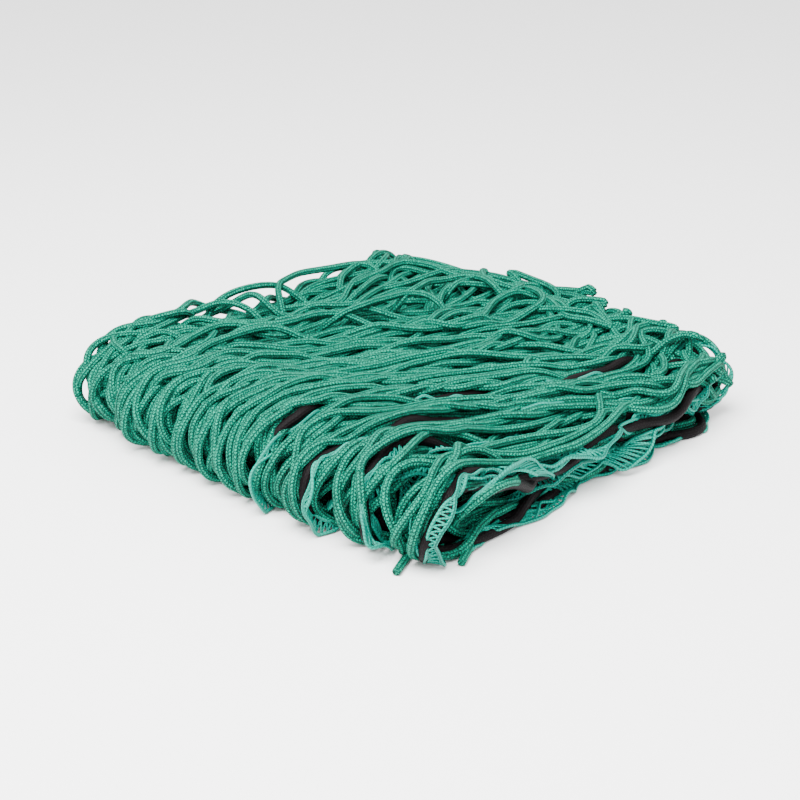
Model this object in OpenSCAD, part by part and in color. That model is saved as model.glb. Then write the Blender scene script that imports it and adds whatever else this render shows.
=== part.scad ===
// A cargo net with an elastic edge cord, folded away into a flat bundle.
//
// The net lies folded in half across its width and in half along its length, so four plies
// run together. That strip is pulled long, laid in layers and folded over: the layers are
// nested in pairs round one side of the bundle and turn back singly at the other side.
// Both long edges, each with the elastic cord and a chain-knitted selvedge outside it, end
// up as four lanes on the near side. The bundle lies centred on the origin, on z = 0.
// X runs along the net's strands, from the nested wraps to the open end, and Y runs across
// them, from the selvedge side to the folded side.

/* [Net] */
// Length of the net when it is spread out
net_l = 2500; // [1800:50:4000]
// Width of the net when it is spread out
net_w = 1400; // [1000:50:2400]
// Length of one side of a mesh, from joint to joint
mesh_bar = 45; // [38:1:60]
// Diameter of the knitted net cord
cord_d = 4.5; // [3.5:0.1:6]

/* [Edge] */
// Diameter of the elastic edge cord
elastic_d = 6; // [4:0.5:7]
// Width of the chain-knitted selvedge
selvedge_w = 8; // [5:0.5:10]
// Thickness of the chain-knitted selvedge
selvedge_t = 2.4; // [1.5:0.1:3]
// Length of the sleeve that joins the two ends of the elastic cord
crimp_l = 16; // [10:1:30]
// Wall of that sleeve
crimp_wall = 0.7; // [0.4:0.1:1]

/* [Bundle] */
// Width of the folded bundle, across the strands
bundle_w = 280; // [240:5:330]
// Number of nested wraps, each of which is two layers
wraps = 3; // [2:1:4]
// Distance between two lanes of the elastic cord
lane_pitch = 34; // [26:1:40]
// Distance between two passes of the elastic cord along the hems
hem_pitch = 8; // [7.5:0.5:10]
// Share of a layer's space that the cords fill
fill = 0.62; // [0.5:0.01:0.75]
// Length of the pulled net that its waves leave, as a share
take_up = 0.95; // [0.8:0.01:1]

/* [Hidden] */
$fn = 32;
plies = 4;
lanes = 4;
gap = 0.3;        // between neighbouring soft pieces
crimp_fit = 0.05; // between the elastic cord and its sleeve
hem_gap = 1;      // from a hem to the first bend of the elastic cord beside it

// Sizes that others are built on lie on a grid of 0.02 mm, so that pieces meet exactly.
function on_grid(v) = round(v * 50) / 50;
width = on_grid(bundle_w);
lane_step = on_grid(lane_pitch);
hem_step = on_grid(hem_pitch);
elastic_r = on_grid(elastic_d) / 2;

// The net as it is gathered. Every mesh across the width has two strands.
strands = 2 * floor(net_w / (mesh_bar * sqrt(2)));
strand_pitch = width / (strands / 2);
mesh_angle = asin(min(0.9, strand_pitch / mesh_bar));
strip_l = net_l * sqrt(2) * cos(mesh_angle) * take_up / 2;

// The layers, counted from the floor up
layers = 2 * wraps;
cord_area = PI / 4 * cord_d ^ 2;
crimp_d = 2 * (elastic_r + crimp_fit + crimp_wall);
layer_t = on_grid(max(crimp_d, plies * strands / 2 * cord_area / (fill * width)));
layer_pitch = layer_t + gap;
function layer_z(k) = layer_t / 2 + (k - 1) * layer_pitch;
mid_z = (layer_z(1) + layer_z(layers)) / 2;

// Radii of the bends, at the middle of a layer
turn_r = layer_pitch / 2;
function wrap_r(j) = (layer_z(layers + 1 - j) - layer_z(j)) / 2;
function sum_wrap_r(j) = j == 0 ? 0 : wrap_r(j) + sum_wrap_r(j - 1);

// Lanes of the elastic cord, from the middle of the bundle to its near side
end_r = lane_step / 2;
function lane_y(m) = -width / 2 + selvedge_w + gap + elastic_r + (lanes - m) * lane_step;

// The bundle's length follows from the length of strip that it holds
corner_r = 2 * elastic_r;
hem_zone = elastic_r + (lanes - 1) * hem_step + corner_r + hem_gap;
end_zone = end_r + elastic_r;
turn_zone = turn_r + layer_t / 2;
bends_l = PI * (sum_wrap_r(wraps) + (wraps - 1) * turn_r);
shortened = hem_zone + end_zone - 2 * turn_zone;
run_l = on_grid((strip_l - bends_l + shortened) / layers);
bundle_l = run_l + wrap_r(1) + layer_t / 2 + turn_zone;
wrap_x = -bundle_l / 2 + wrap_r(1) + layer_t / 2;
turn_x = bundle_l / 2 - turn_zone;
hem_x = bundle_l / 2 - hem_zone;
end_x = bundle_l / 2 - end_zone;

// The strip starts in the top layer and ends in the layer that the last wrap leads to
last_layer = wraps % 2 == 1 ? wraps : wraps + 1;
function run_end(k) = k == layers ? hem_x : k == last_layer ? end_x : turn_x;

// Passes of the elastic cord along the hems, in the top layer
function pass_x(m) = bundle_l / 2 - elastic_r - (lanes - m) * hem_step;
hem_far_y = width / 2 - (pass_x(lanes) - pass_x(1)) / 2 - 2 * elastic_r;
crimp_y = width / 6;

wrap_names = [for (j = [1:wraps]) str("net_wrap_", j)];
turn_names = [for (j = [1:wraps - 1]) str("net_turn_", j)];

// A profile drawn in (y, z) is drawn out along one layer.
module along_run(k, past_end = 0) {
    translate([wrap_x, 0, layer_z(k)])
        rotate([90, 0, 90])
            linear_extrude(run_end(k) + past_end - wrap_x)
                children();
}

// The same profile, turned half round at the wrap side of the bundle.
module round_wrap(j) {
    translate([wrap_x, 0, mid_z])
        rotate([90, 0, 0])
            rotate([0, 0, 90])
                rotate_extrude(angle = 180)
                    translate([wrap_r(j), 0])
                        rotate(-90)
                            children();
}

// The same profile, turned half round at the open side, between wraps j and j + 1.
module round_turn(j) {
    low = j % 2 == 1 ? j : layers - j;
    translate([turn_x, 0, (layer_z(low) + layer_z(low + 1)) / 2])
        rotate([90, 0, 0])
            rotate([0, 0, -90])
                rotate_extrude(angle = 180)
                    translate([turn_r, 0])
                        rotate(-90)
                            children();
}

// The whole way of one lane, from the hem, or from past it, to the end of the strip.
module along_strip(past_hem = 0) {
    for (k = [1:layers]) along_run(k, k == layers ? past_hem : 0) children();
    for (j = [1:wraps]) round_wrap(j) children();
    for (j = [1:wraps - 1]) round_turn(j) children();
}

// The plies of netting in section: one broad strip that ends in the fold of the net's width,
// and a narrow strip between each two lanes.
module netting_profile() {
    fold_y = width / 2 - layer_t / 2;
    broad_y = lane_y(1) + elastic_r + gap;
    translate([broad_y, -layer_t / 2]) square([fold_y - broad_y, layer_t]);
    translate([fold_y, 0]) circle(d = layer_t);
    for (m = [2:lanes]) {
        near_y = lane_y(m) + elastic_r + gap;
        far_y = lane_y(m - 1) - elastic_r - selvedge_w - 2 * gap;
        translate([near_y, -layer_t / 2]) square([far_y - near_y, layer_t]);
    }
}

module selvedge_profile(m) {
    translate([lane_y(m) - elastic_r - gap - selvedge_w, -selvedge_t / 2])
        square([selvedge_w, selvedge_t]);
}

module elastic_section() {
    circle(r = elastic_r);
}

module net_layer(k) {
    color("mediumseagreen") along_run(k) netting_profile();
}

module net_wrap(j) {
    color("seagreen") round_wrap(j) netting_profile();
}

module net_turn(j) {
    color("seagreen") round_turn(j) netting_profile();
}

module selvedge_lane(m) {
    color("aquamarine") along_strip() selvedge_profile(m);
}

// A lane of the elastic cord, with the corner that leads it into its pass along the hem.
module elastic_lane(m) {
    color("dimgray") {
        along_strip(pass_x(m) - corner_r - hem_x) translate([lane_y(m), 0]) elastic_section();
        translate([pass_x(m) - corner_r, lane_y(m) + corner_r, layer_z(layers)])
            rotate([0, 0, -90])
                rotate_extrude(angle = 90)
                    translate([corner_r, 0]) elastic_section();
    }
}

// Where the strip ends, the net is folded along its length and two lanes run into each other.
module elastic_end(m) {
    color("dimgray")
        translate([end_x, (lane_y(m) + lane_y(m + 1)) / 2, layer_z(last_layer)])
            rotate([0, 0, -90])
                rotate_extrude(angle = 180)
                    translate([end_r, 0]) elastic_section();
}

// Along a hem the elastic cord runs to the folded side of the bundle and back, from lane m
// to its partner lane.
module elastic_hem(m) {
    partner = lanes + 1 - m;
    hem_r = (pass_x(partner) - pass_x(m)) / 2;
    color("dimgray") {
        for (p = [m, partner])
            translate([pass_x(p), lane_y(p) + corner_r, layer_z(layers)])
                rotate([-90, 0, 0])
                    cylinder(r = elastic_r, h = hem_far_y - lane_y(p) - corner_r);
        translate([pass_x(m) + hem_r, hem_far_y, layer_z(layers)])
            rotate_extrude(angle = 180)
                translate([hem_r, 0]) elastic_section();
    }
}

// The sleeve that holds the two ends of the elastic cord together, on the outermost pass.
module elastic_crimp() {
    color("silver")
        translate([pass_x(1), crimp_y, layer_z(layers)])
            rotate([-90, 0, 0])
                difference() {
                    cylinder(d = crimp_d, h = crimp_l);
                    translate([0, 0, -1]) cylinder(r = elastic_r + crimp_fit, h = crimp_l + 2);
                }
}

for (k = [1:layers])
    net_layer(k);
for (j = [1:wraps])
    net_wrap(j);
for (j = [1:wraps - 1])
    net_turn(j);
for (m = [1:lanes])
    selvedge_lane(m);
for (m = [1:lanes])
    elastic_lane(m);
elastic_end(1);  // elastic_end_inner
elastic_end(3);  // elastic_end_outer
elastic_hem(2);  // elastic_hem_inner
elastic_hem(1);  // elastic_hem_outer
elastic_crimp();
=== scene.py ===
"""A folded cargo net: knotless knitted netting with a black elastic cord and an open,
chain-knitted selvedge round its edge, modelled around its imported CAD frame.

The netting is laid out as real cords along the way that the net is folded, and then brought
to rest as a heap of soft cords: each keeps its length, resists sharp bends, holds on to its
neighbours at the meshes' joints and lies on whatever is below it.
"""

import math

import bmesh
import bpy
import numpy as np
from bpy.props import FloatProperty, FloatVectorProperty, IntProperty, PointerProperty
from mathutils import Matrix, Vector


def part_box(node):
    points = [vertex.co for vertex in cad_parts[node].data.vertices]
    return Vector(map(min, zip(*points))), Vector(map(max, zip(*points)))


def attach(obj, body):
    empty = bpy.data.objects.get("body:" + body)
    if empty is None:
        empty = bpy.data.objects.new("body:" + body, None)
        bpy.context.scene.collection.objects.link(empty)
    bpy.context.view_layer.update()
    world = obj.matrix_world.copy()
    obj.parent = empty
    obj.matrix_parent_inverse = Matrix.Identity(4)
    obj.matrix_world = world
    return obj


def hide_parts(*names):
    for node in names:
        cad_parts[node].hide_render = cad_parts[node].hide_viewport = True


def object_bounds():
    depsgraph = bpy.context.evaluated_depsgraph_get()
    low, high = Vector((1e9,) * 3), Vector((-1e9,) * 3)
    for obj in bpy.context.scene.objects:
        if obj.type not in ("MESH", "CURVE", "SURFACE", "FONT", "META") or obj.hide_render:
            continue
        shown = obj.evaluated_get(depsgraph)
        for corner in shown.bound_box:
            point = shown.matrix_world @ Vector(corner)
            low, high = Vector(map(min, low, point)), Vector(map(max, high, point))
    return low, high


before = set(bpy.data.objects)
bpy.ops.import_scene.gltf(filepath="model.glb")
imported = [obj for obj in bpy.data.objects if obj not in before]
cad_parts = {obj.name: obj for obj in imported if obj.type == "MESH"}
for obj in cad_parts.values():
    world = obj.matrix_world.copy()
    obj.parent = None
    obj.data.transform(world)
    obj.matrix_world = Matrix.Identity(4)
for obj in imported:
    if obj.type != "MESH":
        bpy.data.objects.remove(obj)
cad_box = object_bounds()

bl_info = {
    "name": "Folded Cargo Net",
    "version": (1, 0, 0),
    "blender": (4, 5, 0),
    "location": "3D View > Sidebar > Cargo Net",
    "description": "Builds a folded cargo net of knitted cord with an elastic edge",
    "category": "Object",
}

MM = 0.001
BODY = "root"


# ---------------------------------------------------------------- settings

def size_setting(name, description, default, low, high):
    return FloatProperty(name=name, description=description, default=default, min=low, max=high,
                         unit="LENGTH", subtype="DISTANCE")


def count_setting(name, description, default, low, high):
    return IntProperty(name=name, description=description, default=default, min=low, max=high)


def colour_setting(name, description, default):
    return FloatVectorProperty(name=name, description=description, default=default,
                               size=3, min=0.0, max=1.0, subtype="COLOR")


class NetSizes(bpy.types.PropertyGroup):
    """Sizes of the net and of its cords"""

    cord_d: size_setting("Cord", "Diameter of the knitted net cord", 0.0045, 0.002, 0.008)
    mesh_bar: size_setting("Mesh bar", "Length of a mesh's side, from joint to joint", 0.045, 0.03, 0.08)
    strands: count_setting("Strands", "Cords across the whole width of the net", 42, 20, 60)
    bars: count_setting("Bars", "Mesh bars along one cord, from hem to hem", 78, 40, 120)
    net_width: size_setting("Net width", "Width of the net when it is spread out", 1.4, 0.5, 3.0)
    net_length: size_setting("Net length", "Length of the net when it is spread out", 2.5, 0.5, 5.0)
    elastic_d: size_setting("Elastic", "Diameter of the elastic edge cord", 0.006, 0.003, 0.01)
    thread_d: size_setting("Thread", "Diameter of the selvedge's thread", 0.0013, 0.0005, 0.003)
    selvedge_w: size_setting("Selvedge", "Distance between the selvedge's two rails", 0.0066, 0.003, 0.012)
    rung_pitch: size_setting("Rung pitch", "Distance between two rungs of the selvedge", 0.0036, 0.002, 0.01)


class NetLooks(bpy.types.PropertyGroup):
    """Colours and stitch sizes"""

    netting: colour_setting("Netting", "Colour of the netting's cord", (0.0, 0.21, 0.129))
    thread: colour_setting("Thread", "Colour of the selvedge's shiny thread", (0.0, 0.23, 0.165))
    elastic: colour_setting("Elastic", "Colour of the elastic cord's sheath", (0.0022, 0.0013, 0.0016))
    sleeve: colour_setting("Sleeve", "Colour of the elastic cord's metal sleeve", (0.55, 0.55, 0.53))
    stitch_l: size_setting("Stitch", "Length of one knitted stitch along the cord", 0.0017, 0.001, 0.006)
    wales: count_setting("Wales", "Columns of stitches round the cord", 6, 3, 12)


class NetSettling(bpy.types.PropertyGroup):
    """How the cords are brought to rest"""

    seed: count_setting("Seed", "Which of the random ways the net falls", 7, 0, 9999)
    steps: count_setting("Steps", "Steps until the cords lie at rest", 170, 10, 1000)
    passes: count_setting("Passes", "Times that ties and contacts are solved in a step", 4, 1, 20)


class NetStage(bpy.types.PropertyGroup):
    """Camera and light"""

    azimuth: FloatProperty(
        name="Azimuth", description="Turn of the camera's view about the vertical",
        default=math.radians(-47.5), subtype="ANGLE")
    elevation: FloatProperty(
        name="Elevation", description="Angle at which the camera looks down",
        default=math.radians(22.5), subtype="ANGLE")
    distance: size_setting("Distance", "From the camera to the middle of the bundle", 0.95, 0.3, 5.0)
    lens: FloatProperty(
        name="Lens", description="Focal length on a 36 mm sensor", default=74.5, min=20, max=200)


# ---------------------------------------------------------------- the way the net is folded

# The strip of netting has four plies. Counted from the top of the top layer down, they are
# the first and second half of the net's length on one side, then the other side's second
# and first half. Each ply's near edge is one lane of the elastic cord.
PLIES = 4
POINTS_PER_BAR = 9
LAYER_ORDER = (6, 1, 2, 5, 4, 3)
PLACES = ("layer_6", "wrap_1", "layer_1", "turn_1", "layer_2", "wrap_2",
          "layer_5", "turn_2", "layer_4", "wrap_3", "layer_3")
UPSIDE_UP = {6: True, 1: False, 2: True, 5: False, 4: True, 3: False}


def smooth(t):
    """0 below 0, 1 above 1, and a smooth step between."""
    t = np.clip(t, 0.0, 1.0)
    return t * t * (3 - 2 * t)


class FoldedFrame:
    """Where the CAD's layers, bends and lanes lie, in millimetres."""

    def __init__(self):
        layers = sorted(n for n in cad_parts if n.startswith("net_layer_"))
        boxes = [[np.array(corner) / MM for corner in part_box(n)] for n in layers]
        self.layer_z = {k + 1: (b[0][2] + b[1][2]) / 2 for k, b in enumerate(boxes)}
        self.ply_step = (self.layer_z[2] - self.layer_z[1]) / PLIES
        self.wrap_x = boxes[0][0][0]
        self.turn_x = boxes[0][1][0]
        self.end_x = boxes[2][1][0]
        self.hem_x = boxes[-1][1][0]
        self.fold_y = boxes[0][1][1]
        self.half_w = cad_box[1][1] / MM
        self.top_z = cad_box[1][2] / MM
        lanes = [[np.array(c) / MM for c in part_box(f"elastic_lane_{m + 1}")] for m in range(PLIES)]
        self.lane_y = [(b[0][1] + b[1][1]) / 2 for b in lanes]
        self.elastic_r = (lanes[0][1][1] - lanes[0][0][1]) / 2

    def z(self, layer, ply):
        """Height of one ply in one layer."""
        place = 1.5 - ply if UPSIDE_UP[layer] else ply - 1.5
        return self.layer_z[layer] + place * self.ply_step


def side_drift(layer, x, y, at):
    """How far the strands of a layer sweep sideways as they run away from the wraps."""
    near = np.clip((y + at.half_w) / 100, 0, 1)
    far = smooth((at.fold_y - y) / 60)
    if layer == 6:
        return -84 * smooth((x + 85) / 185) * near * (0.2 + 0.8 * far)
    if layer == 5:
        return 46 * smooth((x + 40) / 180) * smooth((150 - y) / 120) * near - 14 * near
    return {4: -22, 3: 12, 2: 16, 1: -12}[layer] * smooth((x + 100) / 220) * near * far


class Waviness:
    """A smooth random field over a layer, the sum of a few waves."""

    COUNT = 7
    SHORTEST, LONGEST = 80, 240

    def __init__(self, rng):
        turn = 2 * np.pi
        wave = turn * rng.uniform(1 / self.LONGEST, 1 / self.SHORTEST, self.COUNT)
        way = rng.uniform(0, turn, self.COUNT)
        self.along, self.across = wave * np.cos(way), wave * np.sin(way)
        self.phase = rng.uniform(0, turn, self.COUNT)
        self.height = rng.normal(0, 1, self.COUNT) / np.sqrt(self.COUNT)

    def __call__(self, x, y):
        angle = np.multiply.outer(x, self.along) + np.multiply.outer(y, self.across)
        return (self.height * np.sin(angle + self.phase)).sum(-1)


def strip_route(at, ply, hem_x, turns, end_x, wraps):
    """One ply's way along the folded strip, as rows of x, z, layer, next layer, blend, place."""
    rows = []

    def run(layer, x0, x1):
        z = at.z(layer, ply)
        for t in np.linspace(0, 1, max(2, int(abs(x1 - x0) / 4))):
            rows.append((x0 + (x1 - x0) * t, z, layer, layer, 0.0, 2 * n))

    def bend(layer, following, x, side, depth):
        z0, z1 = at.z(layer, ply), at.z(following, ply)
        r = (z0 - z1) / 2
        for t in np.linspace(0, 1, max(3, int(np.pi * abs(r) / 3)) + 2)[1:-1]:
            out = side * abs(r) * depth * np.sin(np.pi * t)
            rows.append((x + out, (z0 + z1) / 2 + r * np.cos(np.pi * t), layer, following, t, 2 * n + 1))

    xs = [hem_x, at.wrap_x + wraps[0], turns[0], at.wrap_x + wraps[1], turns[1], at.wrap_x + wraps[2], end_x]
    depths = (1.0, 1.2, 1.2, 1.2, 1.5)
    for n, layer in enumerate(LAYER_ORDER):
        run(layer, xs[n], xs[n + 1])
        if n < len(LAYER_ORDER) - 1:
            bend(layer, LAYER_ORDER[n + 1], xs[n + 1], -1 if n % 2 == 0 else 1, depths[n])
    return np.array(rows)


def spread_rows(rows, y0, at, waviness, height):
    """The route's rows as points, with the side drift and waviness of each layer."""
    x, blend = rows[:, 0], smooth(rows[:, 4])
    thin = 1 - CORNER_THIN * back_corner(x, y0)
    z = rows[:, 1] * thin
    x = at.wrap_x + (x - at.wrap_x) * np.where(x < at.wrap_x, thin, 1)
    x = x + NEAR_PULL * smooth((-85 - y0) / 50) * smooth((-50 - x) / 70)
    y = np.zeros(len(x))
    ease = np.clip((y0 + at.half_w) / 60, 0.25, 1)
    for layer in LAYER_ORDER:
        share = (rows[:, 2] == layer) * (1 - blend) + (rows[:, 3] == layer) * blend
        wave = height * ease * waviness[layer](x, np.full(len(x), y0))
        y += (y0 + side_drift(layer, x, y0, at) + wave) * share
    return np.stack([x, y, z, rows[:, 5]], 1)


def back_corner(x, y):
    """1 at the far corner on the wraps' side, which lies lower than the rest, and 0 away from it."""
    return smooth((-50 - x) / 100) * smooth((y - 10) / 120)


def resample(points, count):
    """The same line with points at even distances."""
    steps = np.linalg.norm(np.diff(points[:, :3], axis=0), axis=1)
    along = np.r_[0, np.cumsum(steps)]
    even = np.linspace(0, along[-1], count)
    return np.stack([np.interp(even, along, column) for column in points.T], 1)


def corner_lead(start, length):
    """A far strand's end, which turns at the back corner and runs on along the open end."""
    if length <= 1:
        x, y, z = start[:3]
        return np.array([(x + 2, y, z - 9, 0), (x + 4, y, z - 4, 0)])
    r = min(16.0, length / 2)
    points = []
    for a in np.linspace(0, np.pi / 2, 6)[1:]:
        points.append((start[0] + r * np.sin(a), start[1] - r * (1 - np.cos(a)), start[2] + 2 * a, 0))
    x, y, z = points[-1][:3]
    for t in np.linspace(0, 1, max(2, int((length - r) / 5)))[1:]:
        points.append((x + 3 * np.sin(2.5 * t), y - (length - r) * t, z - 3 * t, 0))
    return np.array(points)[::-1]


# how the net is laid out, in millimetres unless it says otherwise
WAVE_HEIGHT = 4.5
CORNER_THIN = 0.27      # how much lower the far corner is on the wraps' side
NEAR_PULL = 13.0        # how much shorter the bundle is at its near corner
LEADS = (150, 110, 60, 0)  # how far each ply's far strands run on round the back corner
ZIGZAG = 0.6            # of the gap to the next strand, which two strands cross to meet
RUFFLE = (6.5, 19.0, 5.5)  # disorder of the top layer's open end along x, y and z
# across an edge, from its own line: the first strand and how far it reaches in to the second,
# the elastic that lies in the open meshes between them, and the selvedge's rails outside
FIRST_OUT, FIRST_REACH, SECOND_IN = 5.5, 7.5, 4.0
ELASTIC_OUT, ELASTIC_LOW, ELASTIC_DIP, LOWER_TUCK = 0.3, 2.5, 3.0, 9.0
RAILS_OUT = {"rail_in": 8.0, "rail_out": 14.0}
RAIL_TUCK, RAIL_DIP = 7.0, 3.5
# how far the next strands slide out over the elastic where an edge is closed
CLOSING = (0.0, 6.0, 6.0, 4.5, 2.5, 1.0)


def ply_rows(at, ply, j, rng):
    """One strand's way in a ply, with ends and bends that differ a little from its neighbours'."""
    jitter = rng.normal(0, 1, 7)
    wave = np.sin(j * 0.75 + ply * 1.3 + np.array([0.0, 2.0, 4.0, 1.0, 3.0, 5.0, 0.5]))
    hem_x = at.hem_x + 9 + 7 * wave[0] + 3 * jitter[0]
    turns = (at.turn_x - 5 + 6 * wave[1] + 3 * jitter[1], at.turn_x - 8 + 7 * wave[2] + 3 * jitter[2])
    end_x = at.end_x - 9 + 3 * wave[3]
    wraps = (3 + 1.5 * wave[4] + 0.6 * jitter[4], 7 + 2.5 * wave[5] + 1.2 * jitter[5],
             11 + 3 * wave[6] + 1.5 * jitter[6])
    return strip_route(at, ply, hem_x, turns, end_x, wraps)


def strand_places(near, at, beside, rng):
    """Where a ply's strands run across the strip: some close together, with gaps between."""
    gaps = rng.uniform(0.75, 1.0, beside - 2)
    gaps[rng.integers(1, 4)::4] *= 1.55
    across = np.r_[0, np.cumsum(gaps)]
    second = near + SECOND_IN
    return np.r_[near - FIRST_OUT, second + (at.fold_y - 3 - second) * across / across[-1]]


def edge_lines(rows, near, at, waviness, count, ply):
    """The elastic and the selvedge's two rails beside a ply's first strand."""
    closed = closing(count, ply)
    elastic = resample(spread_rows(rows, near - ELASTIC_OUT, at, waviness, WAVE_HEIGHT), count)
    elastic[:, 1] += LOWER_TUCK * smooth(elastic[:, 3] - 1)
    wrapped, turned = in_bend(at, elastic[:, 0])
    dip = ELASTIC_LOW + ELASTIC_DIP * np.maximum(closed, first_reach(count))
    elastic[:, 2] -= dip * (1 - np.maximum(wrapped, turned))
    elastic[:, 0] += (dip + 5) * wrapped - (dip + 14) * turned
    lines = {"elastic": elastic}
    for name, out in RAILS_OUT.items():
        lines[name] = resample(spread_rows(rows, near - out, at, waviness, WAVE_HEIGHT), count)
        lines[name][:, 1] += RAIL_TUCK * (1 - closed)
        lines[name][:, 2] -= RAIL_DIP * (1 - closed)
    return lines


def first_reach(count):
    """Along a first strand, 1 where it meets the second one and 0 where it lies apart."""
    return smooth((np.cos(np.pi * np.arange(count) / POINTS_PER_BAR) - 0.15) / 0.7)


def in_bend(at, x):
    """How far points are in the wraps at one end of the bundle, and in the turns at the other."""
    return smooth((at.wrap_x + 10 - x) / 14), smooth((x - at.turn_x + 12) / 14)


def closing(count, ply):
    """Along an edge, 1 where the strands lie over the elastic and 0 where it shows."""
    along = np.arange(count)
    return smooth(0.75 + 0.8 * np.sin(along * 0.24 + ply * 2.4) + 0.4 * np.sin(along * 0.093 + ply))


def joined(first, second):
    """A cord's two halves as one line, which meets in the middle of the net's length."""
    middle = (first[-1] + second[-1]) / 2
    return np.concatenate([first[:-1], [middle], second[::-1][1:]])


def ruffle(line, rng):
    """One strand's own disorder, towards the open end of the top layer."""
    noise = softened(rng.normal(0, 1, (1, len(line), 3)), 30)[0]
    noise /= noise.std(0)
    noise[:, 2] = np.abs(noise[:, 2])
    open_end = smooth((line[:, 0] + 5) / 80) * smooth(1 - line[:, 3])
    return noise * open_end[:, None] * np.array(RUFFLE)


def lay_out(sizes, seed):
    """The net's cords along the fold, before they are brought to rest, in millimetres."""
    at = FoldedFrame()
    rng = np.random.default_rng(seed)
    waviness = {layer: Waviness(rng) for layer in range(1, 7)}
    cord = sizes.cord_d / MM
    count = sizes.bars // 2 * POINTS_PER_BAR + 1
    beside = sizes.strands // 2
    strands, edges = [], {}
    nears = [y + at.elastic_r for y in at.lane_y]
    across = [strand_places(near, at, beside, rng) for near in nears]
    for i in range(sizes.strands):
        first_side = i < beside
        j = i if first_side else sizes.strands - 1 - i
        halves = []
        for ply in (0, 1) if first_side else (3, 2):
            rows = ply_rows(at, ply, j, rng)
            line = spread_rows(rows, across[ply][j], at, waviness, WAVE_HEIGHT)
            lead = corner_lead(line[0], LEADS[ply] * smooth((j - 12) / 8))
            line = resample(np.concatenate([lead, line]), count)
            line[:, :3] += ruffle(line, rng)
            if j == 0:
                line[:, 1] += FIRST_REACH * first_reach(count)
                line[:, 2] += 1.0
                edges[ply] = edge_lines(rows, nears[ply], at, waviness, count, ply)
            else:
                wrapped, turned = in_bend(at, line[:, 0])
                closed = np.maximum(closing(count, ply), wrapped)
                line[:, 1] -= wrapped * max(0, j - 16) * 1.6
                line[:, 1] -= (CLOSING[j] if j < len(CLOSING) else 0) * closed
                to_next = np.cos(np.pi * np.arange(count) / POINTS_PER_BAR) * (-1) ** j
                pitch = np.diff(across[ply])[1:].mean()
                line[:, 1] += to_next * max(0.0, (pitch - cord) / 2) * ZIGZAG
            halves.append(line)
        strands.append(joined(*halves))
    laid = {"strand": np.array(strands)}
    for name in edges[0]:
        laid[name] = np.array([joined(edges[a][name], edges[b][name]) for a, b in ((0, 1), (3, 2))])
    segment = sizes.mesh_bar / MM / POINTS_PER_BAR
    for name, a, b, x in (("hem_outer", 0, 3, at.hem_x + 8), ("hem_inner", 1, 2, at.hem_x + 4)):
        laid[name] = hem_pass(edges[a]["elastic"][0], edges[b]["elastic"][0], x, at, segment)[None]
    return laid


def hem_pass(start, end, x, at, segment):
    """The elastic cord along a hem: to the folded side and back to the partner lane."""
    far = at.fold_y - 48
    z0, z1 = start[2] - 6, end[2] - 6
    points = [start, (start[0] + 4, start[1] + 2, z0)]
    for t in np.linspace(0, 1, 30):
        points.append((x + 3 * np.sin(7 * t), start[1] + 8 + (far - start[1] - 8) * t, z0))
    for t in np.linspace(0, np.pi, 6)[1:-1]:
        points.append((x - 3 * (1 - np.cos(t)), far + 6 * np.sin(t), z0 + (z1 - z0) * t / np.pi))
    for t in np.linspace(1, 0, 30):
        points.append((x - 6 + 3 * np.sin(6 * t), end[1] + 8 + (far - end[1] - 8) * t, z1))
    points += [(end[0] + 4, end[1] + 2, z1), end]
    points = np.array([point[:3] for point in points])
    length = np.linalg.norm(np.diff(points, axis=0), axis=1).sum()
    return resample(points, int(length / segment))


# ---------------------------------------------------------------- bringing the cords to rest

def close_pairs(points, reach):
    """Every pair of points that lie nearer to each other than reach, found on a grid."""
    cell = np.floor(points / reach).astype(np.int64)
    cell -= cell.min(0) - 1
    size = cell.max(0) + 2
    key = (cell[:, 0] * size[1] + cell[:, 1]) * size[2] + cell[:, 2]
    order = np.argsort(key, kind="stable")
    key = key[order]
    own = np.arange(len(points))
    firsts, seconds = [], []
    steps = [(0, 0, 0), (0, 0, 1)] + [(0, 1, z) for z in (-1, 0, 1)]
    steps += [(1, y, z) for y in (-1, 0, 1) for z in (-1, 0, 1)]
    for dx, dy, dz in steps:
        offset = (dx * size[1] + dy) * size[2] + dz
        low = own + 1 if offset == 0 else np.searchsorted(key, key + offset, "left")
        count = np.maximum(np.searchsorted(key, key + offset, "right") - low, 0)
        first = np.repeat(own, count)
        second = np.arange(len(first)) - np.repeat(np.cumsum(count) - count, count) + np.repeat(low, count)
        first, second = order[first], order[second]
        gap = points[first] - points[second]
        near = np.einsum("ij,ij->i", gap, gap) < reach * reach
        firsts.append(first[near])
        seconds.append(second[near])
    return np.concatenate(firsts), np.concatenate(seconds)


def lengths(gap):
    """The lengths of many steps at once, none of them quite 0."""
    return np.sqrt((gap ** 2).sum(-1)) + 1e-9


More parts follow.
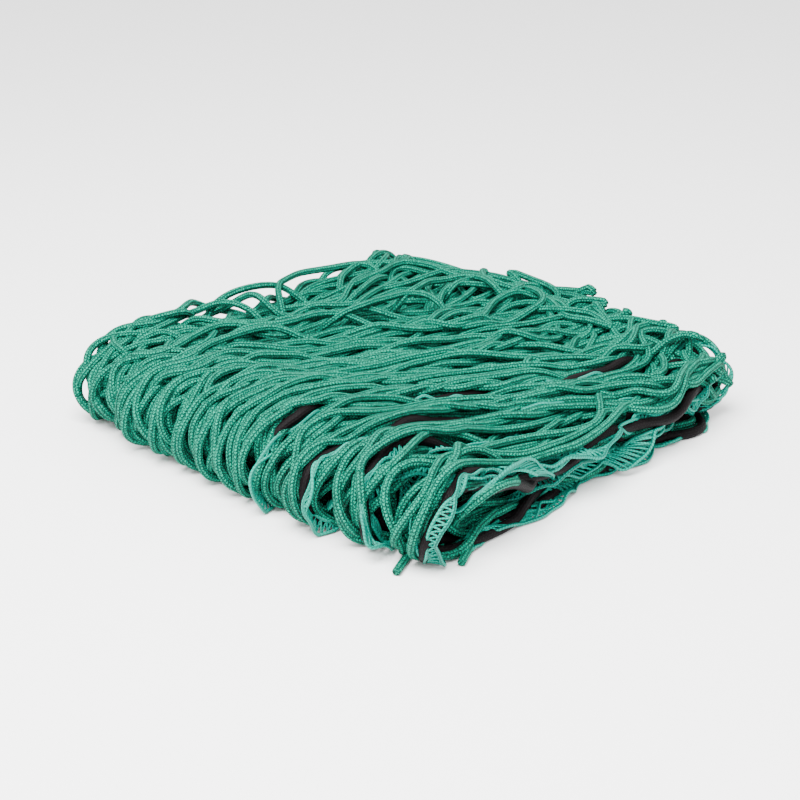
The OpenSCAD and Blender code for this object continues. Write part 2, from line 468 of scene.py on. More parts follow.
class CordHeap:
    """Cords as chains of points that keep their length and push each other away."""

    GRAVITY = 0.03          # millimetres a step, each step
    KEEP_SPEED = 0.6
    TOP_SPEED = 1.0
    THIN_START = 0.36       # the cords start at this share of their thickness
    PAIRS_EVERY = 6
    # a point and the one so many points on stay at least this many segments apart, in a
    # bend and in a layer
    STIFFNESS = ((2, 1.93, 1.985, 0.35), (4, 3.72, 3.93, 0.3), (8, 6.5, 7.75, 0.3))

    def __init__(self, segment):
        self.segment = segment
        self.blocks, self.radii, self.straight, self.ties, self.size = {}, {}, {}, [], 0

    def add(self, name, lines, radius, straight=None):
        """Adds chains and returns the numbers of their points. straight is 1 where they lie level."""
        numbers = np.arange(self.size, self.size + lines.shape[0] * lines.shape[1]).reshape(lines.shape[:2])
        self.blocks[name], self.radii[name] = (numbers, lines), radius
        self.straight[name] = np.zeros(numbers.shape) if straight is None else straight
        self.size = numbers[-1, -1] + 1
        return numbers

    def tie(self, first, second, distance, strength):
        """Holds points at a distance from each other."""
        first, second = np.ravel(first), np.ravel(second)
        self.ties.append((first, second, np.full(len(first), distance), np.full(len(first), strength)))

    def lines(self, name):
        numbers, lines = self.blocks[name]
        return self.points[numbers[0, 0]:numbers[-1, -1] + 1].reshape(lines.shape)

    def push(self, first, second, move):
        for c in range(3):
            self.points[:, c] += np.bincount(first, move[:, c], self.size)
            self.points[:, c] -= np.bincount(second, move[:, c], self.size)

    def keep_length(self, lines, rest):
        for odd in (0, 1):
            a, b = lines[:, odd:-1:2], lines[:, odd + 1::2]
            count = min(a.shape[1], b.shape[1])
            a, b = a[:, :count], b[:, :count]
            gap = b - a
            length = lengths(gap)
            move = (0.45 * (length - rest[:, odd::2][:, :count]) / length)[..., None] * gap
            a += move
            b -= move

    def keep_straight(self, lines, straight, ease):
        for apart, bent, level, strength in self.STIFFNESS:
            gap = lines[:, apart:] - lines[:, :-apart]
            length = lengths(gap)
            least = bent + (level - bent) * np.minimum(straight[:, apart:], straight[:, :-apart])
            short = np.minimum(0, length - least * self.segment * ease)
            move = (0.5 * strength * short / length)[..., None] * gap
            lines[:, :-apart] += move
            lines[:, apart:] -= move

    def contact_pairs(self, radius, chain, tied):
        reach = 2 * radius.max() + 1.6
        a, b = close_pairs(self.points, reach)
        low, high = np.minimum(a, b), np.maximum(a, b)
        keep = ~((chain[a] == chain[b]) & (high - low <= 2))
        keep &= ~np.isin(low * self.size + high, tied)
        gap = self.points[a] - self.points[b]
        keep &= np.einsum("ij,ij->i", gap, gap) < (radius[a] + radius[b] + 2.2) ** 2
        return a[keep], b[keep]

    def settle(self, steps, passes, wall, ceiling):
        """Lets the cords swell to their thickness and sink, until they lie still."""
        blocks = [(numbers, lines, self.radii[name]) for name, (numbers, lines) in self.blocks.items()]
        self.points = np.concatenate([lines.reshape(-1, 3) for _, lines, _ in blocks])
        radius = np.concatenate([np.full(numbers.size, r) for numbers, _, r in blocks])
        chain = np.concatenate([np.repeat(numbers[:, 0], numbers.shape[1]) for numbers, _, _ in blocks])
        rest = {name: np.linalg.norm(np.diff(lines, axis=1), axis=2)
                for name, (_, lines) in self.blocks.items()}
        tie_a, tie_b, tie_l, tie_k = (np.concatenate(part) for part in zip(*self.ties))
        tied = np.unique(np.minimum(tie_a, tie_b) * self.size + np.maximum(tie_a, tie_b))
        speed = np.zeros_like(self.points)
        wall = np.array(wall)
        for step in range(steps):
            done = step / (steps - 1)
            grown = self.THIN_START + (1 - self.THIN_START) * smooth(done / 0.6)
            now = radius * grown
            if step % self.PAIRS_EVERY == 0:
                pair_a, pair_b = self.contact_pairs(radius, chain, tied)
            touch = now[pair_a] + now[pair_b]
            before = self.points.copy()
            self.points += speed
            self.points[:, 2] -= self.GRAVITY
            for _ in range(passes):
                for name in self.blocks:
                    lines = self.lines(name)
                    self.keep_length(lines, rest[name])
                    self.keep_straight(lines, self.straight[name], min(1.0, 0.75 + done / 2))
                gap = self.points[tie_b] - self.points[tie_a]
                length = lengths(gap)
                self.push(tie_a, tie_b, (0.5 * tie_k * (length - tie_l * grown) / length)[:, None] * gap)
                gap = self.points[pair_b] - self.points[pair_a]
                square = (gap ** 2).sum(-1)
                hit = square < touch * touch
                gap, length = gap[hit], np.sqrt(square[hit]) + 1e-6
                self.push(pair_a[hit], pair_b[hit], (0.3 * (length - touch[hit]) / length)[:, None] * gap)
                self.points[:, 2] = np.maximum(self.points[:, 2], now)
                side = self.points[:, :2]
                side -= 0.3 * np.sign(side) * np.maximum(0, np.abs(side) - wall)
                top = ceiling(self.points[:, 0], self.points[:, 1]) - now
                self.points[:, 2] -= 0.25 * np.maximum(0, self.points[:, 2] - top)
            speed = (self.points - before) * self.KEEP_SPEED
            fast = np.linalg.norm(speed, axis=1, keepdims=True)
            speed *= np.minimum(1, self.TOP_SPEED / (fast + 1e-9))


def tie_net(heap, numbers, sizes):
    """The joints of the meshes, and the edge's pieces to each other."""
    cord = sizes.cord_d / MM * 0.955
    elastic = sizes.elastic_d / MM * 0.97
    strand, last = numbers["strand"], sizes.strands - 1
    for i in range(last):
        nodes = np.arange(i % 2, sizes.bars + 1, 2) * POINTS_PER_BAR
        heap.tie(strand[i, nodes], strand[i + 1, nodes], cord * 0.82, 0.8)
        for aside in (-1, 1):
            beside = nodes[(nodes + aside >= 0) & (nodes + aside < strand.shape[1])] + aside
            heap.tie(strand[i, beside], strand[i + 1, beside], cord * 0.94, 0.8)
    for row, edge in ((0, 0), (1, last)):
        heap.tie(strand[edge, ::3], numbers["elastic"][row, ::3], (cord + elastic) / 2, 0.5)
        heap.tie(numbers["elastic"][row, ::3], numbers["rail_in"][row, ::3], elastic / 2 + 1.2, 0.5)
        heap.tie(numbers["rail_in"][row], numbers["rail_out"][row], sizes.selvedge_w / MM, 0.7)
    for name, end in (("hem_outer", 0), ("hem_inner", -1)):
        heap.tie(numbers[name][0, 0], numbers["elastic"][0, end], 0.5, 1.0)
        heap.tie(numbers[name][0, -1], numbers["elastic"][1, end], 0.5, 1.0)


def straightness(places):
    """1 for the points of cords that lie in a layer, and 0 near a wrap or a turn."""
    if places is None:
        return None
    bent = (places % 2 == 1).astype(float)
    for _ in range(3):
        bent[:, 1:-1] = np.maximum(bent[:, 1:-1], np.maximum(bent[:, :-2], bent[:, 2:]))
    return 1 - bent


# the last corrections to the cords at rest, in millimetres: how far the corner at the open end
# is drawn in along x and y, the one at the wraps along y, and how far the open end's rim sinks
OPEN_CORNER, WRAP_CORNER, RIM_DOWN = (10, 7), 5, 4
SINK = 6.0              # how far the elastic goes down between the strands beside it


def drawn_in(lines):
    """Lines with the bundle's two side corners pulled in and its rim at the open end lowered."""
    x, y, z = lines[..., 0].copy(), lines[..., 1].copy(), lines[..., 2].copy()
    right = smooth((x - 50) / 80) * smooth((-60 - y) / 70)
    left = smooth((-95 - x) / 40) * smooth((y - 112) / 25)
    rim = smooth((x - 100) / 40) * smooth((y + 60) / 80) * smooth((z - 25) / 20)
    lines[..., 0] -= OPEN_CORNER[0] * right
    lines[..., 1] += OPEN_CORNER[1] * right - WRAP_CORNER * left
    lines[..., 2] -= RIM_DOWN * rim
    return lines


def sunk_in_places(elastic, at):
    """The elastic cord, let down now and then between the strands beside it."""
    x = elastic[:, :, 0].copy()
    wrapped, turned = in_bend(at, x)
    along = np.arange(x.shape[1])[None, :]
    row = np.arange(x.shape[0])[:, None]
    wave = np.sin(along * 0.34 + row * 2.1) + 0.6 * np.sin(along * 0.61 + row)
    depth = SINK * smooth((wave + 0.75) / 1.1)
    elastic[:, :, 0] += (depth + 2) * wrapped - (depth + 6) * turned
    elastic[:, :, 2] -= depth * (1 - np.maximum(wrapped, turned))
    return elastic


_settled = {}
# radius of a cord as a share of its diameter: a soft cord gives a little where it is pressed
CORD_R, ELASTIC_R = 0.478, 0.485


def settled_net(context):
    """The cords at rest, in millimetres: worked out once, and used by every piece."""
    if not _settled:
        sizes, settling = context.scene.net_sizes, context.scene.net_settling
        laid = lay_out(sizes, settling.seed)
        places = {name: np.rint(lines[:, :, 3]).astype(int)
                  for name, lines in laid.items() if lines.shape[2] > 3}
        laid = {name: lines[:, :, :3].copy() for name, lines in laid.items()}
        heap = CordHeap(sizes.mesh_bar / MM / POINTS_PER_BAR)
        elastic, rail = sizes.elastic_d * ELASTIC_R, sizes.thread_d * 0.8
        thick = {"strand": sizes.cord_d * CORD_R, "elastic": elastic, "rail_in": rail,
                 "rail_out": rail, "hem_outer": elastic, "hem_inner": elastic}
        numbers = {name: heap.add(name, lines, thick[name] / MM, straightness(places.get(name)))
                   for name, lines in laid.items()}
        tie_net(heap, numbers, sizes)
        at = FoldedFrame()

        def ceiling(x, y):
            back = smooth((y - 20) / 110)
            return at.top_z + 6 - back * (14 * smooth((-50 - x) / 100) + 4 * smooth(x / 120))

        steps = settling.steps
        heap.settle(steps, settling.passes, (at.half_w + 4, at.half_w + 3), ceiling)
        _settled.update({name: drawn_in(heap.lines(name).copy()) for name in laid})
        sunk_in_places(_settled["elastic"], at)
        _settled["places"] = places
    return _settled


# ---------------------------------------------------------------- cords as meshes

def softened(lines, times):
    """Lines with their small kinks smoothed away. Their ends stay."""
    lines = lines.copy()
    for _ in range(times):
        lines[:, 1:-1] = (lines[:, :-2] + 2 * lines[:, 1:-1] + lines[:, 2:]) / 4
    return lines


def on_ground(lines, radius):
    """Lines raised where a cord of that radius would sink into the ground."""
    lines[..., 2] = np.maximum(lines[..., 2], radius)
    return lines


def finer(lines, steps):
    """Catmull-Rom points between the lines' own, so many to a segment."""
    before = np.concatenate([2 * lines[:, :1] - lines[:, 1:2], lines[:, :-1]], 1)[:, :-1]
    after = np.concatenate([lines[:, 1:], 2 * lines[:, -1:] - lines[:, -2:-1]], 1)[:, 1:]
    a, b = lines[:, :-1], lines[:, 1:]
    made = np.empty((lines.shape[0], a.shape[1] * steps + 1, 3))
    for k in range(steps):
        t = k / steps
        made[:, k:-1:steps] = 0.5 * (2 * a + (b - before) * t + (2 * before - 5 * a + 4 * b - after) * t * t
                                     + (3 * a - before - 3 * b + after) * t ** 3)
    made[:, -1] = lines[:, -1]
    return made


def cord_mesh(name, lines, radius, sides, seed=0, widths=None):
    """Round cords with closed ends. UV is metres along and round; "cord" is a random number each."""
    curve = bpy.data.curves.new(name, "CURVE")
    curve.dimensions = "3D"
    curve.bevel_depth = radius * MM
    curve.bevel_resolution = (sides - 4) // 2
    curve.use_fill_caps = False
    for line, width in zip(lines, widths or [1.0] * len(lines)):
        spline = curve.splines.new("POLY")
        spline.points.add(len(line) - 1)
        spline.points.foreach_set("co", np.c_[line * MM, np.ones(len(line))].ravel())
        spline.points.foreach_set("radius", np.full(len(line), width))
    holder = bpy.data.objects.new(name, curve)
    mesh = bpy.data.meshes.new_from_object(holder)
    bpy.data.objects.remove(holder)
    bpy.data.curves.remove(curve)
    counts = np.array([len(line) for line in lines])
    if len(mesh.vertices) != counts.sum() * sides:
        raise RuntimeError(f"{name}: the cord's rings have an unexpected number of points")
    along = np.concatenate([np.r_[0, np.cumsum(np.linalg.norm(np.diff(line, axis=0), axis=1))]
                            for line in lines])
    chance = np.random.default_rng(seed).random(len(lines))
    corner = np.empty(len(mesh.loops), dtype=np.int32)
    mesh.loops.foreach_get("vertex_index", corner)
    ring, side = corner // sides, (corner % sides).reshape(-1, 4)
    across = (side.max(1) == sides - 1) & (side.min(1) == 0)
    side = np.where(across[:, None] & (side == 0), sides, side).ravel()
    while mesh.uv_layers:
        mesh.uv_layers.remove(mesh.uv_layers[0])
    uv = mesh.uv_layers.new(name="UVMap")
    around = 2 * math.pi * radius / sides
    flat = np.stack([along[ring] * MM, side * around * MM], 1)
    uv.uv.foreach_set("vector", flat.astype(np.float32).ravel())
    number = mesh.attributes.new("cord", "FLOAT", "POINT")
    number.data.foreach_set("value", np.repeat(chance, counts * sides).astype(np.float32))
    return close_ends(mesh, sides)


def close_ends(mesh, sides):
    """Fills the cords' open ends and turns every face outward."""
    work = bmesh.new()
    work.from_mesh(mesh)
    bmesh.ops.holes_fill(work, edges=[edge for edge in work.edges if edge.is_boundary], sides=sides)
    bmesh.ops.recalc_face_normals(work, faces=work.faces)
    work.to_mesh(mesh)
    work.free()
    mesh.shade_smooth()
    return mesh


def linked(name, data):
    """A new object in the scene."""
    made = bpy.data.objects.new(name, data)
    bpy.context.scene.collection.objects.link(made)
    return made


def place_piece(name, mesh, material, slot, *nodes):
    """Puts a finished piece in the scene for the CAD nodes that it stands for."""
    piece = linked(name, mesh)
    mesh.materials.clear()
    mesh.materials.append(material)
    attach(piece, BODY)
    if nodes:
        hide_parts(*nodes)
    return piece


def runs(places):
    """(place, first, last) of each stretch of a cord that lies in one place of the fold."""
    edges = np.flatnonzero(np.diff(places)) + 1
    starts, ends = np.r_[0, edges], np.r_[edges, len(places) - 1]
    return [(places[a], a, b) for a, b in zip(starts, ends) if b > a]


# ---------------------------------------------------------------- materials

class Graph:
    """Adds nodes to a node tree and links them."""

    def __init__(self, tree):
        self.tree = tree

    def node(self, kind, inputs=None, **settings):
        made = self.tree.nodes.new(kind)
        for name, value in settings.items():
            setattr(made, name, value)
        for socket, value in (inputs or {}).items():
            if isinstance(value, bpy.types.NodeSocket):
                self.tree.links.new(value, made.inputs[socket])
            else:
                made.inputs[socket].default_value = value
        return made

    def math(self, operation, a, b=0.0, c=0.0):
        return self.node("ShaderNodeMath", {0: a, 1: b, 2: c}, operation=operation).outputs[0]

    def ramp(self, value, low, high, to_low=0.0, to_high=1.0):
        inputs = {0: value, 1: low, 2: high, 3: to_low, 4: to_high}
        return self.node("ShaderNodeMapRange", inputs, interpolation_type="SMOOTHSTEP").outputs[0]

    def mix(self, factor, a, b, blend="MIX"):
        made = self.node("ShaderNodeMix", data_type="RGBA", blend_type=blend)
        for socket, value in ((0, factor), (6, a), (7, b)):
            if isinstance(value, bpy.types.NodeSocket):
                self.tree.links.new(value, made.inputs[socket])
            else:
                made.inputs[socket].default_value = value
        return made.outputs[2]


def group_tree(name, inputs, outputs):
    """A new node group with its sockets, and a graph to fill it with."""
    tree = bpy.data.node_groups.new(name, "ShaderNodeTree")
    for socket, default in inputs.items():
        made = tree.interface.new_socket(socket, in_out="INPUT", socket_type="NodeSocketFloat")
        made.default_value = default
    for socket in outputs:
        tree.interface.new_socket(socket, in_out="OUTPUT", socket_type="NodeSocketFloat")
    graph = Graph(tree)
    return graph, graph.node("NodeGroupInput").outputs, graph.node("NodeGroupOutput").inputs


def knit_group():
    """Columns of knitted stitches round a cord: their height, and a shade factor from it, 0 in the low
    places and 1 on the crests, with which the materials paint shade into the low places.
    """
    known = bpy.data.node_groups.get("KnitStitches")
    if known:
        return known
    inputs = {"Stitch": 0.0024, "Round": 0.0135, "Wales": 6.0, "Slant": 0.9}
    g, given, result = group_tree("KnitStitches", inputs, ("Height", "Shade"))
    uv = g.node("ShaderNodeUVMap").outputs[0]
    split = g.node("ShaderNodeSeparateXYZ", {0: uv})
    coords = g.node("ShaderNodeTexCoord").outputs["Object"]
    noise = g.node("ShaderNodeTexNoise", {"Vector": coords, "Scale": 260.0, "Detail": 2.0}).outputs[0]
    wander = g.math("MULTIPLY_ADD", noise, 0.5, -0.25)
    column = g.math("MULTIPLY", g.math("DIVIDE", split.outputs[1], given["Round"]), given["Wales"])
    stagger = g.math("MULTIPLY", g.math("FLOOR", column), 0.5)
    aside = g.math("ABSOLUTE", g.math("SUBTRACT", g.math("FRACT", column), 0.5))
    row = g.math("DIVIDE", split.outputs[0], given["Stitch"])
    slant = g.math("MULTIPLY", aside, given["Slant"])
    row = g.math("ADD", g.math("ADD", row, stagger), g.math("ADD", wander, slant))
    arch = g.math("SINE", g.math("MULTIPLY", g.math("FRACT", row), math.pi))
    ridge = g.ramp(aside, 0.5, 0.12)
    height = g.math("MULTIPLY", g.math("POWER", arch, 0.7), g.math("MULTIPLY_ADD", ridge, 0.75, 0.25))
    g.tree.links.new(height, result["Height"])
    # Shade: the factor with which the materials paint shade into the stitches' low places
    g.tree.links.new(g.ramp(height, 0.12, 0.85), result["Shade"])
    return g.tree


def cord_random(g):
    """The cord's own random number."""
    return g.node("ShaderNodeAttribute", attribute_name="cord", attribute_type="GEOMETRY").outputs["Fac"]


def new_material(name):
    """A material, a graph of its nodes and its shader."""
    material = bpy.data.materials.new(name)
    material.use_nodes = True
    return material, Graph(material.node_tree), material.node_tree.nodes["Principled BSDF"]


def stitches(g, **sizes):
    """The knitted stitches' node in a material, with its sizes."""
    knit = g.node("ShaderNodeGroup", node_tree=knit_group())
    for name, value in sizes.items():
        knit.inputs[name].default_value = value
    return knit.outputs["Height"], knit.outputs["Shade"]


def dress(g, shader, colour, height, relief, strength, rough, specular):
    """Gives a shader its colour, its stitches' relief in metres, and its sheen."""
    bump = g.node("ShaderNodeBump", {"Height": height, "Distance": relief, "Strength": strength})
    g.tree.links.new(colour, shader.inputs["Base Color"])
    g.tree.links.new(bump.outputs[0], shader.inputs["Normal"])
    shader.inputs["Roughness"].default_value = rough
    shader.inputs["Specular IOR Level"].default_value = specular


def knitted_material(context):
    """Matt knitted net cord, lighter and darker from cord to cord and speckled, with painted shade in the
    low places between its stitches and painted light on their crests.
    """
    sizes, looks = context.scene.net_sizes, context.scene.net_looks
    material, g, shader = new_material("knitted cord")
    around = math.pi * sizes.cord_d * 0.956
    height, shade = stitches(g, Stitch=looks.stitch_l, Round=around, Wales=looks.wales)
    full = Vector(looks.netting)
    # painted shade and light: the stitches' low places are darkened and their crests lightened in the colour
    painted_crest_light = (*(full * 1.1), 1)
    painted_valley_shade = (full[0], full[1] * 0.2, full[2] * 0.23, 1)
    coords = g.node("ShaderNodeTexCoord").outputs["Object"]
    patches = g.node("ShaderNodeTexNoise", {"Vector": coords, "Scale": 14.0, "Detail": 3.0}).outputs[0]
    tone = g.math("ADD", g.math("MULTIPLY", patches, 0.3), g.math("MULTIPLY", cord_random(g), 0.22))
    tint = g.mix(g.ramp(tone, 0.1, 0.42), (0.82, 0.86, 0.84, 1), (1.06, 1.04, 1.05, 1), "MULTIPLY")
    colour = g.mix(1.0, g.mix(shade, painted_valley_shade, painted_crest_light), tint, "MULTIPLY")
    specks = g.node("ShaderNodeTexNoise", {"Vector": coords, "Scale": 1100.0, "Detail": 1.0}).outputs[0]
    specks = g.mix(g.ramp(specks, 0.36, 0.64), (0.45, 0.47, 0.47, 1), (1.3, 1.3, 1.3, 1))
    colour = g.mix(1.0, colour, specks, "MULTIPLY")
    dress(g, shader, colour, height, relief=0.0007, strength=0.9, rough=0.75, specular=0.1)
    return material


def thread_material(context):
    """Shiny thread of the selvedge, twisted from filaments."""
    sizes = context.scene.net_sizes
    material, g, shader = new_material("shiny thread")
    around = math.pi * sizes.thread_d
    height, shade = stitches(g, Stitch=sizes.rung_pitch / 2, Round=around, Wales=2.0)
    full = Vector(context.scene.net_looks.thread)
    # painted shade: the low places of the thread's twist are darkened to a quarter of its colour
    colour = g.mix(shade, (*(full * 0.25), 1), (*full, 1))
    # painted glints: some threads, chosen at random, are mixed towards a paler green
    colour = g.mix(g.ramp(cord_random(g), 0.0, 1.0, 0.0, 0.3), colour, (0.01, 0.3, 0.21, 1))
    dress(g, shader, colour, height, relief=0.0003, strength=0.7, rough=0.3, specular=0.08)
    return material


def elastic_material(context):
    """Braided textile sheath of the elastic cord."""
    material, g, shader = new_material("braided sheath")
    around = math.pi * context.scene.net_sizes.elastic_d * 0.97
    height, shade = stitches(g, Stitch=0.0022, Round=around, Wales=12.0, Slant=1.0)
    full = Vector(context.scene.net_looks.elastic)
    # painted shade and light: the braid's low places are darkened to 0.4 of the colour and its crests
    # lightened to 1.5 times
    colour = g.mix(shade, (*(full * 0.4), 1), (*(full * 1.5), 1))
    dress(g, shader, colour, height, relief=0.0003, strength=0.7, rough=0.6, specular=0.08)
    return material


def sleeve_material(context):
    """Brushed metal."""
    material, g, shader = new_material("brushed metal")
    coords = g.node("ShaderNodeTexCoord").outputs["Object"]
    grain = g.node("ShaderNodeTexNoise", {"Vector": coords, "Scale": 900.0, "Detail": 3.0}).outputs[0]
    full = Vector(context.scene.net_looks.sleeve)
    g.tree.links.new(g.mix(grain, (*(full * 0.8), 1), (*full, 1)), shader.inputs["Base Color"])
    g.tree.links.new(g.ramp(grain, 0.3, 0.7, 0.28, 0.5), shader.inputs["Roughness"])
    shader.inputs["Metallic"].default_value = 1.0
    return material


# ---------------------------------------------------------------- operators

NET_SIDES = 8
# The area that a sheet of netting is declared with, as a share of its flat rectangle.
# A net is mostly holes: half of its cords' surface is 0.28 of the rectangle, and 0.3 is the least
# allowed.
CUT_STUBS = (((-100, -108, 5), (-117, -113, 2.6), (-138, -122, 2.4)),
             ((-82, -122, 6), (-94, -131, 2.8), (-110, -139, 2.4)))
STUBS_IN = PLACES.index("layer_1")


def end_loops(lines):
    """For each cord, the points that lead from its start and its end to its partner's, as a loop."""
    loops = []
    for i in range(len(lines)):
        own, partner = lines[i], lines[i ^ 1]
        pair = []
        ends = ((own[0], own[2], partner[0], partner[2]), (own[-1], own[-3], partner[-1], partner[-3]))
        for tip, behind, other, partner_behind in ends:
            out = tip - behind + other - partner_behind
            out /= np.linalg.norm(out) + 1e-9
            out[2] = min(out[2], -0.15)
            meet = (tip + other) / 2 + out * 3.6
            pair.append(np.array([tip + out * 1.6, tip * 0.7 + other * 0.3 + out * 3.1, meet]))
        loops.append(pair)
    return loops


class CARGONET_OT_netting(bpy.types.Operator):
    """Builds the netting of every layer, wrap and turn from cords brought to rest"""

    bl_idname = "cargo_net.netting"
    bl_label = "Netting"
    bl_options = {"REGISTER", "UNDO"}

    def execute(self, context):
        sizes = context.scene.net_sizes
        net = settled_net(context)
        lines = on_ground(softened(net["strand"], 2), sizes.cord_d / MM / 2)
        loops = end_loops(lines)
        lines = finer(lines, 2)
        places = np.repeat(net["places"]["strand"], 2, axis=1)[:, 1:]
        material = knitted_material(context)
        parts = {k: [] for k in range(len(PLACES))}
        for line, place, (start, end) in zip(lines, places, loops):
            cut = [(k, line[first:last + 1]) for k, first, last in runs(place)]
            cut[0] = (cut[0][0], np.concatenate([start[::-1], cut[0][1]]))
            cut[-1] = (cut[-1][0], np.concatenate([cut[-1][1], end]))
            for k, stretch in cut:
                parts[k].append(stretch)
        for k, cords in parts.items():
            if not cords:
                raise RuntimeError(f"the netting has no cords in {PLACES[k]}")
            name = f"netting_{PLACES[k]}"
            if k == STUBS_IN:
                cords += [finer(np.array([stub], dtype=float), 8)[0] for stub in CUT_STUBS]
            mesh = cord_mesh(name, cords, sizes.cord_d / MM * CORD_R, NET_SIDES, seed=k)
            piece = place_piece(name, mesh, material, "netting", f"net_{PLACES[k]}")
        return {"FINISHED"}


def crinkle(shape, rng):
    """Small smooth random shifts along lines, in millimetres."""
    rough = softened(rng.normal(0, 1, shape), 16)
    rough /= rough.std()
    return rough * np.array((1.3, 1.3, 1.9))


def rung_line(a, b):
    """One crossing thread of the selvedge, from rail to rail, a little bowed."""
    c = (a + b) / 2 + np.array((0, 0, 0.5))
    return np.array([a, (a + c) / 2 + (0, 0, 0.15), c, (b + c) / 2 + (0, 0, 0.15), b])


class CARGONET_OT_selvedges(bpy.types.Operator):
    """Builds the open ladder-like selvedge along the net's two long edges"""

    bl_idname = "cargo_net.selvedges"
    bl_label = "Selvedges"
    bl_options = {"REGISTER", "UNDO"}

    def execute(self, context):
        sizes = context.scene.net_sizes
        net = settled_net(context)
        material = thread_material(context)
        inner = finer(softened(net["rail_in"], 2), 3)
        outer = finer(softened(net["rail_out"], 2), 3)
        rng = np.random.default_rng(context.scene.net_settling.seed)
        for rail in (inner, outer):
            rail += crinkle(rail.shape, rng)
            on_ground(rail, sizes.thread_d / MM)
        half = inner.shape[1] // 2
        for lane, (row, part) in enumerate(((0, 0), (0, 1), (1, 1), (1, 0))):
            stretch = slice(0, half + 1) if part == 0 else slice(half, None)
            a, b = inner[row, stretch], outer[row, stretch]
            length = np.linalg.norm(np.diff(a, axis=0), axis=1).sum()
            rungs = int(length / (sizes.rung_pitch / MM))
            a_even, b_even = resample(a, 2 * rungs + 1), resample(b, 2 * rungs + 1)
            rails = [a, b]
            threads = []
            for k in range(rungs):
                threads.append(rung_line(a_even[2 * k], b_even[2 * k + 1]))
                threads.append(rung_line(a_even[2 * k + 2], b_even[2 * k + 1]))
            widths = [1.5] * len(rails) + [0.8] * len(threads)
            name = f"selvedge_{lane + 1}"
            mesh = cord_mesh(name, rails + threads, sizes.thread_d / MM / 2, 6, 40 + lane, widths)
            place_piece(name, mesh, material, "selvedge", f"selvedge_lane_{lane + 1}")
        return {"FINISHED"}


class CARGONET_OT_elastic(bpy.types.Operator):
    """Builds the black elastic cord along both long edges and both hems"""

    bl_idname = "cargo_net.elastic"
    bl_label = "Elastic cord"
    bl_options = {"REGISTER", "UNDO"}

    def execute(self, context):
        sizes = context.scene.net_sizes
        net = settled_net(context)
        material = elastic_material(context)
        radius = sizes.elastic_d / MM * ELASTIC_R
        rows = finer(on_ground(softened(net["elastic"], 2), radius), 2)
        for row, nodes in enumerate((("elastic_lane_1", "elastic_lane_2", "elastic_end_inner"),
                                     ("elastic_lane_3", "elastic_lane_4", "elastic_end_outer"))):
            name = f"elastic_side_{row + 1}"
            place_piece(name, cord_mesh(name, rows[row:row + 1], radius, 12), material, "elastic", *nodes)
        for name in ("hem_outer", "hem_inner"):
            line = finer(softened(net[name], 2), 2)
            mesh = cord_mesh(f"elastic_along_{name}", line, radius, 12)
            place_piece(f"elastic_along_{name}", mesh, material, "elastic", f"elastic_{name}")
        return {"FINISHED"}


class CARGONET_OT_sleeve(bpy.types.Operator):
    """Builds the metal sleeve that joins the elastic cord's two ends"""

    bl_idname = "cargo_net.sleeve"
    bl_label = "Sleeve"
    bl_options = {"REGISTER", "UNDO"}

    def execute(self, context):
        low, high = (np.array(corner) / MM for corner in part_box("elastic_crimp"))
        centre, length = (low + high) / 2, (high - low).max()
        lines = settled_net(context)["hem_outer"][0]
        nearest = int(np.argmin(np.linalg.norm(lines - centre, axis=1)[8:-8])) + 8
        way = Vector(lines[nearest + 2] - lines[nearest - 2]).normalized()
        middle = Vector(lines[nearest]) * MM
        radius = context.scene.net_sizes.elastic_d / 2 + 0.0008
        work = bmesh.new()
        bmesh.ops.create_cone(work, cap_ends=True, segments=24, radius1=radius, radius2=radius,
                              depth=length * MM)
        rims = [edge for edge in work.edges if any(len(face.verts) > 4 for face in edge.link_faces)]
        bmesh.ops.bevel(work, geom=rims, offset=0.0005, segments=2, affect="EDGES")
        turn = Vector((0, 0, 1)).rotation_difference(way).to_matrix()
        bmesh.ops.rotate(work, verts=work.verts, matrix=turn)
        bmesh.ops.translate(work, verts=work.verts, vec=middle)
        mesh = bpy.data.meshes.new("sleeve")
        work.to_mesh(mesh)
        work.free()
        place_piece("sleeve", mesh, sleeve_material(context), "sleeve", "elastic_crimp")
        return {"FINISHED"}


KEY_AT = (-0.5, -0.2, 1.1)
KEY_POWER, KEY_SIZE, SKY = 65, 0.8, 2.2
MIDDLE = (0, 0, 0.025)
SHIFT = (-3 / 800, -20 / 800)


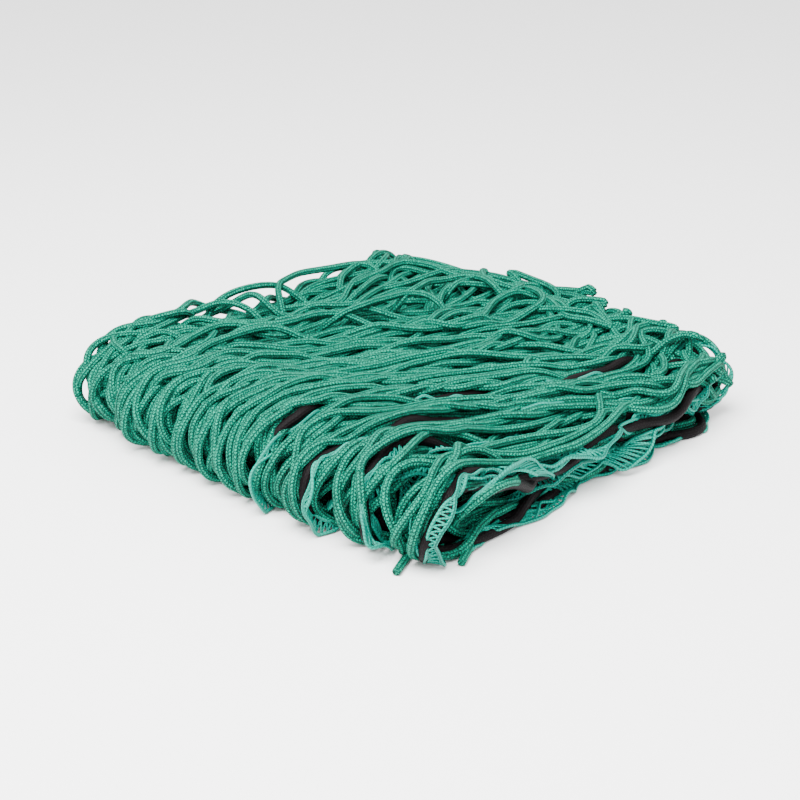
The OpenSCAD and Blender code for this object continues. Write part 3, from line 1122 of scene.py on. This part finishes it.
class CARGONET_OT_stage(bpy.types.Operator):
    """Sets the pale floor, the soft light and the camera"""

    bl_idname = "cargo_net.stage"
    bl_label = "Stage"
    bl_options = {"REGISTER", "UNDO"}

    def execute(self, context):
        scene, stage = context.scene, context.scene.net_stage
        work = bmesh.new()
        bmesh.ops.create_grid(work, x_segments=1, y_segments=1, size=3.0)
        mesh = bpy.data.meshes.new("floor")
        work.to_mesh(mesh)
        work.free()
        floor = linked("floor", mesh)
        pale, _, shader = new_material("pale floor")
        shader.inputs["Base Color"].default_value = (0.9, 0.9, 0.9, 1)
        shader.inputs["Roughness"].default_value = 0.9
        mesh.materials.append(pale)
        world = bpy.data.worlds.new("studio")
        scene.world = world
        world.use_nodes = True
        sky = world.node_tree.nodes["Background"]
        sky.inputs["Color"].default_value = (1, 1, 1, 1)
        sky.inputs["Strength"].default_value = SKY
        light = bpy.data.lights.new("key", "AREA")
        light.energy = KEY_POWER
        light.size = KEY_SIZE
        key = linked("key", light)
        key.location = KEY_AT
        key.rotation_euler = (-key.location).to_track_quat("-Z", "Y").to_euler()
        camera = linked("camera", bpy.data.cameras.new("camera"))
        scene.camera = camera
        look = Vector((-math.sin(stage.azimuth) * math.cos(stage.elevation),
                       math.cos(stage.azimuth) * math.cos(stage.elevation), -math.sin(stage.elevation)))
        camera.location = Vector(MIDDLE) - look * stage.distance
        camera.rotation_euler = look.to_track_quat("-Z", "Y").to_euler()
        camera.data.sensor_width = 36
        camera.data.lens = stage.lens
        camera.data.shift_x, camera.data.shift_y = SHIFT
        return {"FINISHED"}


class CARGONET_PT_panel(bpy.types.Panel):
    """The net's pieces and their settings"""

    bl_idname = "CARGONET_PT_panel"
    bl_label = "Cargo Net"
    bl_space_type = "VIEW_3D"
    bl_region_type = "UI"
    bl_category = "Cargo Net"

    def draw(self, context):
        for title, settings in SETTINGS.items():
            box = self.layout.box()
            group = getattr(context.scene, title)
            for name in settings.__annotations__:
                box.prop(group, name)
        for operator in OPERATORS:
            self.layout.operator(operator.bl_idname)


SETTINGS = {"net_sizes": NetSizes, "net_looks": NetLooks, "net_settling": NetSettling, "net_stage": NetStage}
OPERATORS = (CARGONET_OT_netting, CARGONET_OT_selvedges, CARGONET_OT_elastic, CARGONET_OT_sleeve,
             CARGONET_OT_stage)
CLASSES = (*SETTINGS.values(), *OPERATORS, CARGONET_PT_panel)


def register():
    for known in CLASSES:
        bpy.utils.register_class(known)
    for name, settings in SETTINGS.items():
        setattr(bpy.types.Scene, name, PointerProperty(type=settings))


def unregister():
    for name in SETTINGS:
        delattr(bpy.types.Scene, name)
    for known in reversed(CLASSES):
        bpy.utils.unregister_class(known)


def main():
    register()
    bpy.ops.cargo_net.netting()
    bpy.ops.cargo_net.selvedges()
    bpy.ops.cargo_net.elastic()
    bpy.ops.cargo_net.sleeve()
    bpy.ops.cargo_net.stage()


if __name__ == "__main__":
    main()
